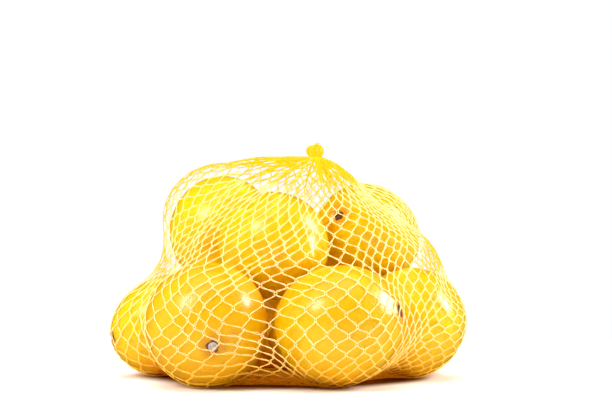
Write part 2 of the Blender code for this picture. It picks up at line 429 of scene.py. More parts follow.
def reach(lemon, direction):
    """How far the rind is from the lemon's middle, in mm, along each unit direction.

    A superellipse: the share of the direction along the axis over the half length, and across it
    over the half girth, each to the power ROUNDNESS, summed, to the power -1/ROUNDNESS. To that are
    added the nipple and its groove, the collar, dimple and furrows at the stem, each a bell curve
    of the angle from the axis, and all is swelled by a sum of sine waves of the direction.
    """
    local = direction @ lemon["axes"].T
    angle = np.arccos(np.clip(local[..., 2], -1, 1))
    turn = np.arctan2(local[..., 1], local[..., 0])
    half = np.where(local[..., 2] > 0, STEM_SHARE, TIP_SHARE) * lemon["length"] / 2
    along = (np.abs(np.cos(angle)) / half) ** ROUNDNESS
    across = (np.sin(angle) / (lemon["girth"] / 2)) ** ROUNDNESS
    body = (along + across) ** (-1 / ROUNDNESS)
    tip = math.pi - angle
    body += (1 - TIP_SHARE) * lemon["length"] / 2 * bell(tip, 0, NIPPLE_WIDTH)
    body -= GROOVE_DEPTH * bell(tip, GROOVE_PLACE, GROOVE_WIDTH)
    body += COLLAR_HEIGHT * bell(angle, COLLAR_PLACE, COLLAR_WIDTH)
    body -= DIMPLE_DEPTH * bell(angle, 0, DIMPLE_WIDTH)
    wave = np.cos(FURROWS * turn + lemon["furrow_phase"])
    body -= FURROW_DEPTH * wave * bell(angle, FURROW_PLACE, FURROW_WIDTH)
    swell = np.sin(local @ lemon["waves"].T + lemon["phases"]) @ lemon["heights"]
    return body * (1 + swell)


lemons = {name: new_lemon(*numbers) for name, numbers in LEMONS.items()}
print(len(lemons), "lemons,", min(l["girth"] for l in lemons.values()), "mm in girth and up")

# %% [markdown]
# The grid on a lemon runs from the stem pole to the tip. Its rings are drawn together towards both
# poles, where the collar, the dimple and the nipple need them. Each point is marked with its distance
# from the stem, which the rind's colour follows.

# %% Lemon pieces
RINGS, SECTORS = 96, 128
CROWDING = 0.5  # 0 spaces the rings evenly, and towards 1 they crowd at the poles


def grid_directions(lemon, rings, sectors):
    """Unit directions from the stem pole to the tip, pole points first and last, (count, 3).

    The angle from the stem is pi times (t less CROWDING sin(2 pi t) / 2 pi), t going from 0 to 1.
    """
    t = np.linspace(0, 1, rings + 1)[1:-1]
    angle = math.pi * (t - CROWDING * np.sin(math.tau * t) / math.tau)[:, None]
    turn = math.tau * np.arange(sectors)[None, :] / sectors
    across = np.sin(angle)
    local = np.stack([across * np.cos(turn), across * np.sin(turn), np.cos(angle) + 0 * turn], -1)
    local = np.concatenate([[[0, 0, 1.0]], local.reshape(-1, 3), [[0, 0, -1.0]]])
    return local @ lemon["axes"]


# Painted light, in part: the three on top are painted palest and the front ones deepest, for the brighter top
# of the heap, besides the fruits' own tone.
PALENESS_WITH_PAINTED_LIGHT = {"top_middle": 1.0, "top_left": 1.0, "top_right": 1.0, "side_right": 0.7, "side_left": 0.6,
            "front_right": 0.3, "front_left": 0.0}  # how yellow each is, against orange

lemon_faces = ball_faces(RINGS - 1, SECTORS)
for name, lemon in lemons.items():
    directions = grid_directions(lemon, RINGS, SECTORS)
    far = reach(lemon, directions)
    from_stem = far * np.arccos(np.clip(directions @ lemon["axes"][2], -1, 1))
    points = lemon["centre"] + far[:, None] * directions
    points[:, 2] = np.maximum(points[:, 2], 0)
    marks = {
        "from_stem": from_stem,
        "paleness_with_painted_light": np.full(len(points), PALENESS_WITH_PAINTED_LIGHT.get(name, 0.4)),
        "height": np.ascontiguousarray(points[:, 2]),
    }
    piece = make_piece("lemon_" + name, points, lemon_faces, marks, rind)
print(len(lemons), "lemons of", triangles(piece), "triangles")

# %% [markdown]
# ## Stem buttons
# Where the stalk broke off, a small brown star of dry calyx stays on the lemon: a flat disc with five
# blunt lobes, a raised rim, and a paler scar in the middle where the wood shows. It is a turned
# profile whose outline is pulled in and out five times round. Ten of them make one piece.

# %% Button shape
BUTTON_RADIUS = 3.9
LOBES, LOBE_DEPTH = 5, 0.13
# Distance from the middle (in radii) and height above the rind (mm), from the top round to below.
BUTTON_PROFILE = np.array(
    [(0.14, 0.75), (0.30, 0.7), (0.44, 0.78), (0.52, 1.15), (0.66, 1.35), (0.82, 1.15),
     (0.95, 0.6), (1.0, 0.1), (0.96, -0.5), (0.6, -0.9), (0.2, -1.0)]
)
BUTTON_SECTORS = 40
BUTTON_SINK = 0.2  # below the rind's height at the pole


def button_points(lemon, seed, size):
    """One button on its lemon: the profile turned about the stem axis, its radius times a lobed
    outline (one plus LOBE_DEPTH cos(LOBES angle) plus two small seeded waves)."""
    chance = np.random.default_rng(seed)
    turn = math.tau * np.arange(BUTTON_SECTORS) / BUTTON_SECTORS
    lobes = 1 + LOBE_DEPTH * np.cos(LOBES * turn)
    lobes += 0.05 * np.cos(3 * turn + chance.uniform(0, 6)) + 0.03 * np.cos(8 * turn + chance.uniform(0, 6))
    share, height = BUTTON_PROFILE[:, :1], BUTTON_PROFILE[:, 1:]
    outline = 1 + (lobes - 1) * ease(share, 0.1, 0.7)
    radius = BUTTON_RADIUS * size * chance.uniform(0.9, 1.05) * share * outline
    rough = 1 + 0.15 * np.sin(7 * turn + chance.uniform(0, 6)) * np.cos(3 * turn)
    local = np.stack([radius * np.cos(turn), radius * np.sin(turn), height * rough], -1).reshape(-1, 3)
    local = np.concatenate([[[0, 0, height[0, 0]]], local, [[0, 0, height[-1, 0]]]])
    pole = reach(lemon, lemon["axes"][2]) - BUTTON_SINK
    local[:, 2] += pole
    return lemon["centre"] + local @ lemon["axes"], np.linalg.norm(local[:, :2], axis=1)


def joined(blocks, faces):
    """Many copies of one set of faces, each numbered on from the last."""
    step = len(blocks[0])
    copies = [[block + step * copy for copy in range(len(blocks))] for block in faces]
    return np.concatenate(blocks), [np.concatenate(block) for block in copies]


button, tree, shader = new_material("stem_button", Roughness=0.8)
dry = place_group(tree, MOTTLE, Size=0.0012, Detail=3.0)
cracks = place_group(tree, PITS, Size=0.0009, Width=0.4)
bark = mix_colours(tree, dry.outputs["Patches"], (0.09, 0.026, 0.010), (0.25, 0.09, 0.03))
scar = mix_colours(tree, dry.outputs["Patches"], (0.80, 0.74, 0.70), (0.42, 0.30, 0.26))
scar = mix_colours(tree, mark_range(tree, "fresh", 0.0, 1.0), (0.13, 0.04, 0.015), scar)
calyx = mix_colours(tree, mark_range(tree, "from_axis", 2.0, 2.5), scar, bark)
tree.links.new(calyx, shader.inputs["Base Color"])
add_bump(tree, shader, cracks.outputs["Height"], 0.00025)
PALE_SCARS = {"front_left": 1.0, "side_left": 0.0}  # how fresh the scar is, 0.1 elsewhere
SMALL_BUTTONS = {"top_right": 0.74, "front_right": 0.9}
made = [
    button_points(lemon, 100 + number, SMALL_BUTTONS.get(name, 1.0))
    for number, (name, lemon) in enumerate(lemons.items())
]
fresh = [np.full(len(points), PALE_SCARS.get(name, 0.1)) for name, (points, _) in zip(lemons, made)]
points, faces = joined([points for points, _ in made], ball_faces(len(BUTTON_PROFILE), BUTTON_SECTORS))
marks = {"from_axis": np.concatenate([axis for _, axis in made]), "fresh": np.concatenate(fresh)}
piece = make_piece("stem_buttons", points, faces, marks, button)
print("stem buttons,", triangles(piece), "triangles")

# %% [markdown]
# ## How the netting is knitted
# The tube is warp knitted: zigzag cords, the wales, run from the foot to the knot, and each touches
# its left neighbour, then its right one, in turn. Where two touch they are knitted together, so there
# is a node, and between the nodes the mesh opens into diamonds. The nodes are a grid of rows and
# columns, every second row shifted by half a column. A wale visits one node in each row.
#
# To lay it over the fruit, the grid starts as a wide bag and is let go, as springs: each link pulls
# when it is stretched and hardly pushes when slack, which is what thin cord does. A Shrinkwrap
# modifier then lifts every node that has sunk into the form of the bag back to its surface. A few
# hundred such steps take seconds, and the mesh opens over the lemons and closes at the sides.

# %% Netting grid
COLUMNS, ROWS = 60, 42
KNOT_MOUTH, MOUTH_RADIUS = np.array([15.0, -3.0, 116.0]), 3.2
FOOT_MOUTH, FOOT_RADIUS = np.array([28.0, -4.0, 3.5]), 3.5
LINK = 6.0  # mm, the length at which a link is slack
LINK_MOST = 7.8  # past this it hardly gives
UNEVEN = 0.10  # share by which links differ
START_CENTRE, START_RADII = np.array([0.0, -2.0, 52.0]), np.array([100.0, 104.0, 72.0])

row_of = np.arange(ROWS + 1)[:, None]
column_of = np.arange(COLUMNS)[None, :]
node = row_of * COLUMNS + column_of


def start_nodes():
    """The grid before it is let go: rows of points on a wide ball, leaning to the knot and the foot."""
    share = row_of / ROWS
    turn = math.tau * (column_of + 0.5 * (row_of % 2)) / COLUMNS
    down = math.pi * (0.04 + 0.90 * share)
    ball = np.stack([np.sin(down) * np.cos(turn), np.sin(down) * np.sin(turn), np.cos(down) + 0 * turn], -1)
    lean = (1 - share)[..., None] * (KNOT_MOUTH - START_CENTRE) + share[..., None] * (FOOT_MOUTH - START_CENTRE)
    grid = START_CENTRE + ball * START_RADII + 0.9 * lean * (1, 1, 0)
    ring = math.tau * np.arange(COLUMNS) / COLUMNS
    circle = np.stack([np.cos(ring), np.sin(ring), 0 * ring], -1)
    grid[0] = KNOT_MOUTH + MOUTH_RADIUS * circle
    grid[-1] = FOOT_MOUTH + FOOT_RADIUS * circle
    return grid.reshape(-1, 3)


def link_ends():
    """Pairs of linked nodes. A node of an even row is linked to the nodes half a column to its left
    and right in the next row, which have numbers one less and the same, and so on in turn."""
    shift = np.where(row_of[:-1] % 2, 1, -1)
    beside = (column_of + shift) % COLUMNS
    straight = np.stack([node[:-1], node[1:]], -1)
    slanted = np.stack([node[:-1], (row_of[:-1] + 1) * COLUMNS + beside], -1)
    return np.concatenate([straight.reshape(-1, 2), slanted.reshape(-1, 2)])


links = link_ends()
print(node.size, "nodes and", len(links), "links")

# %% Let the netting settle
ROUNDS = 800
PULL, PUSH, HOLD = 0.12, 0.10, 0.8  # how far a stretched, slack or overlong link is put right
EVEN_ROUND, EVEN_LINKS = 0.03, 0.12  # how far a node moves to the middle of its neighbours


def settler(count):
    """A function that lifts points out of the form, by a Shrinkwrap on a mesh that has only points."""
    mesh = bpy.data.meshes.new("settling_nodes")
    mesh.vertices.add(count)
    holder = bpy.data.objects.new("settling_nodes", mesh)
    bpy.context.scene.collection.objects.link(holder)
    lift = holder.modifiers.new("lift", "SHRINKWRAP")
    lift.target = FORM
    lift.wrap_method = "NEAREST_SURFACEPOINT"
    lift.wrap_mode = "OUTSIDE"

    def lifted(points):
        mesh.vertices.foreach_set("co", (points * MM).astype(np.float32).ravel())
        mesh.update()
        holder.update_tag()
        bpy.context.view_layer.update()
        done = holder.evaluated_get(bpy.context.evaluated_depsgraph_get()).data
        moved = np.empty(points.size, np.float32)
        done.vertices.foreach_get("co", moved)
        return moved.reshape(points.shape) / MM

    return lifted, holder


def settle(points, rounds):
    """Springs and lifting by turns. Each link gives both its ends half its error, and each node goes
    part of the way to the mean of the nodes it is linked to and of its two neighbours in the row."""
    lifted, holder = settler(len(points))
    free = np.ones((len(points), 1))
    free[node[[0, -1]].ravel()] = 0
    first, second = links.T
    rest = LINK * (1 + UNEVEN * seeds.uniform(-1, 1, len(links)))
    degree = np.bincount(links.ravel(), minlength=len(points))[:, None]
    for step in range(rounds):
        span = points[second] - points[first]
        length = np.linalg.norm(span, axis=1) + 1e-9
        error = (length - rest) / length
        give = 0.5 * np.where(error > 0, PULL, PUSH) * error
        give += 0.5 * HOLD * np.maximum(length - LINK_MOST, 0) / length
        move, around = np.zeros_like(points), np.zeros_like(points)
        np.add.at(move, first, give[:, None] * span)
        np.add.at(move, second, -give[:, None] * span)
        np.add.at(around, first, points[second])
        np.add.at(around, second, points[first])
        grid = points.reshape(ROWS + 1, COLUMNS, 3)
        beside = 0.5 * (np.roll(grid, 1, 1) + np.roll(grid, -1, 1)).reshape(-1, 3)
        move = 0.5 * move + EVEN_LINKS * (around / degree - points) + EVEN_ROUND * (beside - points)
        points = points + free * move
        if step % 2:
            points = np.where(free > 0, lifted(points), points)
    bpy.data.objects.remove(holder, do_unlink=True)
    return points


nodes = settle(start_nodes(), ROUNDS)
lengths = np.linalg.norm(nodes[links[:, 1]] - nodes[links[:, 0]], axis=1)
print("links from %.1f to %.1f mm, %.1f on average" % (lengths.min(), lengths.max(), lengths.mean()))

# %% [markdown]
# ## Twist, drift and pleats
# A machine would lay the mesh over the fruit as evenly as the springs do, and a hand doesn't. The tube
# is twisted a little, so the wales lean over the front, and it has slipped here and there, so no two
# diamonds are alike. Near the knot it has far more width than room and folds into about a dozen
# pleats, the fingers that run down from the knot. All three are one thing, sliding the nodes about on
# the surface that the net already has: a node moves to a fractional row and column of the grid.

# %% Slide the nodes on the net's own surface
TWIST = 1.5  # columns that the knot is turned against the foot
DRIFTS = [(3, 0.21, 0.34), (7, 0.35, 0.22), (11, 0.60, 0.12)]  # waves round, per row, and height
JITTER = 0.07  # of a column or a row
KNOT_STEPS = 0.5  # how much longer the steps between rows are at the knot
EVENING_TURNS = 12
PLEATS = 16
PLEAT_TURNS = 2  # how often the crowding is done over, each time tighter
PLEAT_STRENGTH = 0.88
PLEAT_ROWS = 3.0, 6.0  # between these rows the pleats open out
PLEAT_LIFT = 0.8  # mm that a pleat's ridge stands up
MIDDLE = (5, 0, 55)  # mm, the middle of the heap
CLEARANCE = 0.42  # mm from the rind or the table to the middle of a strand
LIFTING_TURNS = 3
HOLLOWS = [((-70, 0, 61), 20, 6.0), ((54, 0, 99), 22, 7.0), ((70, 0, 84), 12, 3.0)]  # where, how wide, how deep the net is drawn in


def on_net(grid, rows, columns):
    """Points of the net at fractional rows and columns, on the straight lines between its nodes.
    A column number counts from the even rows, so a node of an odd row has its own number plus 0.5."""

    def on_row(row):
        places = columns - 0.5 * (row % 2)
        whole = np.floor(places).astype(int)
        share = (places - whole)[..., None]
        return grid[row, whole % COLUMNS] * (1 - share) + grid[row, (whole + 1) % COLUMNS] * share

    rows = np.asarray(rows, float)
    upper = np.clip(np.floor(rows).astype(int), 0, ROWS - 1)
    share = (rows - upper)[..., None]
    return on_row(upper) * (1 - share) + on_row(upper + 1) * share


def evened(grid):
    """The fractional row at which each node would have to lie for its column to be evenly spaced,
    from the knot, where the steps are longer, to the foot. Half columns take turns, as the rows do."""
    rows = np.arange(ROWS + 1)[:, None] + np.zeros((1, 2 * COLUMNS))
    halves = 0.5 * np.arange(2 * COLUMNS)[None, :] + 0 * rows
    steps = np.linalg.norm(np.diff(on_net(grid, rows.astype(int), halves), axis=0), axis=-1)
    travelled = np.concatenate([np.zeros((1, 2 * COLUMNS)), np.cumsum(steps, axis=0)])
    share = np.cumsum(1 + KNOT_STEPS * (1 - ease(np.arange(ROWS), 3, 9)))
    share = np.concatenate([[0], share / share[-1]])
    places = [np.interp(share * column[-1], column, rows[:, 0]) for column in travelled.T]
    places = np.stack(places, axis=1)
    for turn in range(EVENING_TURNS):
        places = 0.5 * places + 0.25 * (np.roll(places, 1, 1) + np.roll(places, -1, 1))
    own = (2 * column_of + row_of % 2) % (2 * COLUMNS)
    return np.take_along_axis(places, own, axis=1)


def drift(rows, columns):
    """A slow uneven shift: a sum of seeded sine waves of the angle round the tube and of the row."""
    angle = math.tau * columns / COLUMNS
    waves = [
        high * np.sin(many * angle + per_row * rows * sign + seeds.uniform(0, math.tau))
        for many, per_row, high in DRIFTS
        for sign in (1, -1)
    ]
    return sum(waves) + JITTER * seeds.uniform(-1, 1, rows.shape)


def slid(grid):
    """Each node at its new place. A pleat takes column c to c less strength sin(PLEATS angle) COLUMNS
    / (2 pi PLEATS), which crowds the columns at the pleats' ridges, and the ridges are lifted."""
    rows = row_of + 0.0 * column_of
    columns = column_of + 0.5 * (row_of % 2)
    inner = np.minimum(ease(rows, 0, 5), ease(ROWS - rows, 0, 5))
    down = np.clip(evened(grid) + inner * drift(rows, columns), 0, ROWS)
    across = columns + TWIST * (0.5 - rows / ROWS) + inner * drift(rows, columns)
    angle = math.tau * across / COLUMNS
    uneven = PLEATS * (angle + 0.10 * np.sin(2 * angle + 1.0) + 0.06 * np.sin(5 * angle + 4.0))
    strength = PLEAT_STRENGTH * (1 - ease(rows, *PLEAT_ROWS))
    crowded = uneven
    for turn in range(PLEAT_TURNS):
        crowded = crowded - strength * np.sin(crowded)
    across += (crowded - uneven) * COLUMNS / (math.tau * PLEATS)
    placed = on_net(grid, down, across)
    outward = unit(placed - placed.mean(axis=1, keepdims=True)) + (0, 0, 0.5)
    ridge = PLEAT_LIFT * strength * np.cos(uneven)
    return placed + (ridge * (rows > 0))[..., None] * outward


def drawn_in(points):
    """Moves points towards the middle of the heap by a bell curve of their distance from each hollow."""
    for place, width, depth in HOLLOWS:
        share = bell(np.linalg.norm((points - place) * (1, 0.35, 1), axis=-1, keepdims=True), 0, width)
        points = points + depth * share * unit(MIDDLE - points)
    return points


def clear_of_fruit(points):
    """Lifts points off the rind, straight away from the middle of the lemon, and off the table."""
    for turn in range(LIFTING_TURNS):
        for lemon in lemons.values():
            away = points - lemon["centre"]
            far = np.linalg.norm(away, axis=-1, keepdims=True)
            least = reach(lemon, away / far)[..., None] + CLEARANCE
            points = np.where(far < least, lemon["centre"] + away / far * least, points)
        points[..., 2] = np.maximum(points[..., 2], CLEARANCE)
    return points


def gap_to_fruit(points, across=(1, 1, 1)):
    """The least distance from each point to any rind, along the line to that lemon's middle. With
    across set to (1, 0, 1) it is how far the point lies outside the heap's outline from the front."""
    gaps = []
    for lemon in lemons.values():
        away = (points - lemon["centre"]) * across
        far = np.linalg.norm(away, axis=-1)
        gaps.append(far - reach(lemon, away / far[..., None]))
    return np.min(gaps, axis=0)


grid = clear_of_fruit(drawn_in(slid(nodes.reshape(ROWS + 1, COLUMNS, 3))))
print("nodes lie", round(float(np.median(gap_to_fruit(grid))), 1), "mm off the fruit at the median")

# %% [markdown]
# ## Strands
# A link isn't a straight line. At a node its two wales run side by side for a couple of millimetres,
# where they are knitted together, and then part in a soft curve. Each wale is itself two filaments
# twisted round each other, which spread a little at the nodes and leave the tiny eye that shows in
# the middle of each. So the path of a wale comes first, then its pair of filaments, then thin
# four-sided tubes along those, all 124 wales at once.

# %% Paths of the wales
EYE_HALF = 0.62  # mm from the middle of an open node to each wale in it, and a little more
OPEN_FROM = 2.5, 7.0  # mm between the nodes of a row, over which the eyes open
TOUCH_HALF = 0.22  # mm to each wale where the two touch, above and below the eye
KNITTED_HALF = 0.72  # mm from the middle of the node to where they touch
SAMPLES = tuple(np.linspace(0, 1, 5))  # of the curve between two nodes
BULGE = 0.12  # of the link's length, how far its curve keeps the direction of the knitted part


def along_wales(grid, values):
    """Values of the nodes that each wale visits, (wales, rows, ...). An even wale visits column i in
    all rows, and the odd one after it visits i in odd rows and i + 1 in even rows."""
    straight = values
    turned = np.where((row_of % 2 == 0)[..., None], np.roll(values, -1, axis=1), values)
    both = np.stack([straight, turned], axis=2)
    return both.reshape(ROWS + 1, 2 * COLUMNS, -1).transpose(1, 0, 2)


def wale_paths(grid):
    """The middle lines of all wales and the outward direction along them, (wales, points, 3).

    Each link gives its node, then a cubic Bezier curve from the end of one knitted part to the start
    of the next: (1-t)^3, 3t(1-t)^2, 3t^2(1-t) and t^3 times its four points, summed.
    """
    around = unit(np.roll(grid, -1, 1) - np.roll(grid, 1, 1))
    even = row_of[..., None] % 2 == 0
    mean_left = 0.5 * (grid + np.roll(grid, 1, 1))
    mean_right = 0.5 * (grid + np.roll(grid, -1, 1))
    below = np.empty_like(grid)
    above = np.empty_like(grid)
    linked = np.where(even, mean_right, mean_left)
    below[:-1], below[-1] = linked[1:], grid[-1]
    above[1:], above[0] = linked[:-1], grid[0]
    down = unit(below - above)
    outward = unit(np.cross(down, around))
    room = 0.5 * np.linalg.norm(np.roll(grid, -1, 1) - np.roll(grid, 1, 1), axis=-1, keepdims=True)
    place, down, around, outward, room = (
        along_wales(grid, values) for values in (grid, down, around, outward, room)
    )
    wale = np.arange(2 * COLUMNS)[:, None, None]
    row = np.arange(ROWS + 1)[None, :, None]
    side = np.where((wale + row) % 2 == 0, 1.0, -1.0)
    open_share = ease(room, *OPEN_FROM)
    eye = side * (0.15 + open_share * EYE_HALF * seeds.uniform(0.6, 1.2, side.shape)) * around
    touching = place + side * TOUCH_HALF * (0.4 + 0.6 * open_share) * around
    leave = touching[:, :-1] + KNITTED_HALF * down[:, :-1]
    arrive = touching[:, 1:] - KNITTED_HALF * down[:, 1:]
    place = place + eye
    handle = BULGE * np.linalg.norm(arrive - leave, axis=-1, keepdims=True)
    corners = (leave, leave + handle * down[:, :-1], arrive - handle * down[:, 1:], arrive)
    t = np.array(SAMPLES)[:, None]
    shares = ((1 - t) ** 3, 3 * t * (1 - t) ** 2, 3 * t * t * (1 - t), t**3)
    curve = sum(share * corner[:, :, None] for share, corner in zip(shares, corners))
    link = np.concatenate([place[:, :-1, None], curve], axis=2)
    face = outward[:, :-1, None] * (1 - t) + outward[:, 1:, None] * t
    face = np.concatenate([outward[:, :-1, None], face], axis=2)
    path = np.concatenate([link.reshape(2 * COLUMNS, -1, 3), place[:, -1:]], axis=1)
    face = np.concatenate([face.reshape(2 * COLUMNS, -1, 3), outward[:, -1:]], axis=1)
    return path, face


paths, facing = wale_paths(grid)
paths = clear_of_fruit(paths)
gaps = gap_to_fruit(paths)
print(paths.shape[0], "wales of", paths.shape[1], "points")

# %% [markdown]
# The plastic is a clear yellow. A strand that lies on the rind is painted pale, a painted sheen for
# the light of the soft boxes that it catches against a darker ground, and one that hangs free or is
# gathered with others is a deep yellow, since light has gone through it. Every strand also glows, a
# painted glow for that light through the plastic, and strands low under the fruit are painted in
# shade. A mark holds how near the fruit each point is.

# %% Net plastic
LIT_PAINTED_SHEEN, LIT_DEEP = (1.0, 0.71, 0.32), (0.62, 0.27, 0.002)  # what the light on it gives back
# Painted light: the GLOW colours feed an emission, a painted glow for the light that comes through the plastic.
GLOW_PAINTED_SHEEN, GLOW_DEEP = (0.50, 0.355, 0.14), (0.78, 0.48, 0.001)  # what comes through it
# Painted shade: the colours of strands low under the fruit.
LIT_SHADE, GLOW_SHADE = (0.55, 0.22, 0.002), (0.14, 0.045, 0.0)  # under the fruit
net_plastic, tree, shader = new_material("net_plastic", Roughness=0.32, IOR=1.5)
shader.inputs["Coat Weight"].default_value = 0.2
shader.inputs["Coat Roughness"].default_value = 0.15
# Painted glow: the netting emits, though it is no lamp.
shader.inputs["Emission Strength"].default_value = 1.0
tint = place_group(tree, MOTTLE, Size=0.009, Detail=1.0)
# Painted sheen: where this mark is high the strand gets the pale colours.
paler = mark_range(tree, "painted_sheen_on_fruit", 0.0, 1.0)
patches = scaled(tree, tint.outputs["Patches"], 0.2)
painted_shade_under_fruit = mark_range(tree, "painted_shade_under_fruit", 0.0, 1.0)
for socket, pale, deep, shade in (
    ("Base Color", LIT_PAINTED_SHEEN, LIT_DEEP, LIT_SHADE), ("Emission Color", GLOW_PAINTED_SHEEN, GLOW_DEEP, GLOW_SHADE)
):
    yellow = mix_colours(tree, patches, mix_colours(tree, paler, deep, pale), deep)
    yellow = mix_colours(tree, painted_shade_under_fruit, yellow, shade)
    tree.links.new(yellow, shader.inputs[socket])
fine = place_group(tree, MOTTLE, Size=0.0006, Detail=1.0)
add_bump(tree, shader, fine.outputs["Patches"], 0.00004)

# %% Filaments of the netting
FILAMENT_RADIUS = 0.17
TWIST_RADIUS, EYE_RADIUS = (0.12, 0.48), 0.13  # of the pair, between the nodes and at them
FLATTEN = 0.5  # of the pair's spread towards and away from the fruit
SIDES = 4
KNOT_FUZZ = 0.5  # how much thicker the slack, curled filaments by the knot look
PIECES = {"netting_right": (0, 1 / 3), "netting_left": (1 / 3, 2 / 3), "netting_front": (2 / 3, 1)}


def filaments(path, face):
    """The two middle lines of each wale, (wales, 2, points, 3), and the directions across them.

    Each goes round the wale's middle once a link: out times cos, and side times sin, of the turn.
    """
    along = unit(np.gradient(path, axis=1))
    side = unit(np.cross(along, face))
    out = np.cross(side, along)
    step = len(SAMPLES) + 1
    count = np.arange(path.shape[1])
    apart = seeds.uniform(*TWIST_RADIUS, (len(path), 1, len(count) // step + 1, 1))
    apart = np.repeat(apart, step, axis=2)[:, :, : len(count)]
    at_node = np.isin(count % step, (0, 1, step - 1))[None, None, :, None]
    spread = np.where(at_node, EYE_RADIUS, apart)
    start = seeds.uniform(0, 0.6, (len(path), 1, 1))
    turn = (math.tau * count / step)[None, None] + start + math.pi * np.arange(2)[None, :, None]
    turn = turn[..., None]
    out, side = out[:, None], side[:, None]
    return path[:, None] + spread * (FLATTEN * np.cos(turn) * out + np.sin(turn) * side), out, side


def tube_points(lines, out, side, radius, sides):
    """Corners of a tube round each line: out times cos and side times sin of the corner's angle."""
    corner = (math.tau * (np.arange(sides) + 0.5) / sides)[:, None]
    ring = np.cos(corner) * out[..., None, :] + np.sin(corner) * side[..., None, :]
    return lines[..., None, :] + radius * ring


lines, out, side = filaments(paths, facing)
near_knot = 1 - ease(np.arange(paths.shape[1]) / (len(SAMPLES) + 1), 2, 6)
radius = FILAMENT_RADIUS * (1 + KNOT_FUZZ * near_knot[:, None, None])
tubes = tube_points(lines, out, side, radius, SIDES)
# Painted sheen: strands near the rind and inside the heap's outline as seen from the front are marked for the
# pale colours; lower down the mark is weaker, a painted shade towards the table.
outside = gap_to_fruit(paths, (1, 0, 1))
painted_sheen_on_fruit = 1 - ease(gaps, 2.0, 7.0) * ease(outside, -2.5, 2.5)
painted_sheen_on_fruit = painted_sheen_on_fruit * (0.3 + 0.7 * ease(paths[..., 2], 3, 30))
# Painted shade: strands less than about 14 mm above the table and inside the bag's footprint are marked for the
# shade colours.
painted_shade_under_fruit = (1 - ease(paths[..., 2], 3, 14)) * (1 - ease(np.hypot(paths[..., 0] / 86, (paths[..., 1] + 5) / 95), 0.72, 0.98))
for name, (start, end) in PIECES.items():
    chosen = slice(round(start * 2 * COLUMNS), round(end * 2 * COLUMNS))
    some = tubes[chosen]
    faces = tube_faces(some.shape[0] * 2, some.shape[2], SIDES)
    marks = {
        mark: np.broadcast_to(values[chosen, None, :, None], some.shape[:-1])
        for mark, values in (("painted_sheen_on_fruit", painted_sheen_on_fruit), ("painted_shade_under_fruit", painted_shade_under_fruit))
    }
    piece = make_piece(name, some.reshape(-1, 3), faces, marks, net_plastic)
    piece.visible_glossy = False
    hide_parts("net_bag")
    print(name, triangles(piece), "triangles")

# %% [markdown]
# ## Knot and foot
# Above the fruit all the netting is drawn together into one soft cord and tied in an overhand knot,
# which is a trefoil pulled tight, with its cut end standing up and fraying. Under the bag the tube
# was gathered the same way at the factory, and its flat sealed end lies forward on the table. Both
# are bundles: strands that keep their places across a path, wander a little, and fan out at the end.

# %% Bundles of gathered netting
STRAND_RADIUS, STRAND_SIDES = 0.36, 5


def even_steps(path, count):
    """Points at equal distances along a polyline, after its corners have been rounded."""
    for turn in range(4):
        path[1:-1] = 0.5 * path[1:-1] + 0.25 * (path[:-2] + path[2:])
    travelled = np.concatenate([[0], np.cumsum(np.linalg.norm(np.diff(path, axis=0), axis=1))])
    at = np.linspace(0, travelled[-1], count)
    return np.stack([np.interp(at, travelled, path[:, k]) for k in range(3)], axis=1)


def bundle(path, upright, strands, width, flatness, flare, seed):
    """The middle lines of strands along a path, (strands, points, 3), with nothing between them, and the up and
    side directions.

    Strand k starts at the k-th place of a sunflower spiral, whose radius goes with the square root
    of k and whose angle with the golden angle. It turns slowly about the path, wavers by two seeded
    sines, and in the last quarter its distance from the middle grows by flare.
    """
    chance = np.random.default_rng(seed)
    share = np.linspace(0, 1, len(path))[None]
    k = np.arange(strands)[:, None]
    radius = width * np.sqrt((k + 0.5) / strands)
    angle = k * math.pi * (3 - math.sqrt(5)) + 2.0 * share
    waver = np.sin(share * chance.uniform(14, 30, k.shape) + chance.uniform(0, 6, k.shape))
    radius = radius * (1 + 0.12 * waver) * (1 + flare * ease(share, 0.78, 1.0))
    angle = angle + 0.35 * np.sin(share * chance.uniform(8, 20, k.shape) + chance.uniform(0, 6, k.shape))
    along = unit(np.gradient(path, axis=0))
    side = unit(np.cross(along, upright))
    up = np.cross(side, along)
    lines = path + radius[..., None] * (
        np.cos(angle)[..., None] * side + flatness * np.sin(angle)[..., None] * up
    )
    lines[..., 2] = np.maximum(lines[..., 2], 1.2 * STRAND_RADIUS)
    trim = chance.uniform(0.86, 1.0, strands)
    last = (trim * (len(path) - 1)).astype(int)
    keep = np.minimum(np.arange(len(path))[None], last[:, None])
    return np.take_along_axis(lines, keep[..., None], axis=1), up, side


def bundle_piece(name, path, upright, strands, width, flatness, flare, seed):
    lines, up, side = bundle(path, upright, strands, width, flatness, flare, seed)
    points = tube_points(lines, up[None], side[None], STRAND_RADIUS, STRAND_SIDES)
    faces = tube_faces(len(lines), len(path), STRAND_SIDES)
    marks = {"painted_sheen_on_fruit": np.zeros(points.shape[:-1])}
    return make_piece(name, points.reshape(-1, 3), faces, marks, net_plastic)


# %% The overhand knot
KNOT_CENTRE = np.array([15.0, -3.0, 118.0])
KNOT_RADIUS, KNOT_CORD = 3.0, 1.9
KNOT_OPENING = math.radians(40)
TAIL_END = np.array([3.2, -0.6, 4.2])

angle = np.linspace(KNOT_OPENING / 2, math.tau - KNOT_OPENING / 2, 120)
across = np.sin(angle) + 2 * np.sin(2 * angle)
upward = np.cos(angle) - 2 * np.cos(2 * angle)
trefoil = np.stack([across, -np.sin(3 * angle), upward], axis=1) * KNOT_RADIUS / 3
path = np.concatenate([[(0, 0, -KNOT_RADIUS - KNOT_CORD)], trefoil, [TAIL_END]]) + KNOT_CENTRE
piece = bundle_piece("top_knot", even_steps(path, 110), (0, 1, 0), 34, 1.75, 1.0, 0.7, 5)
print("top knot,", triangles(piece), "triangles")

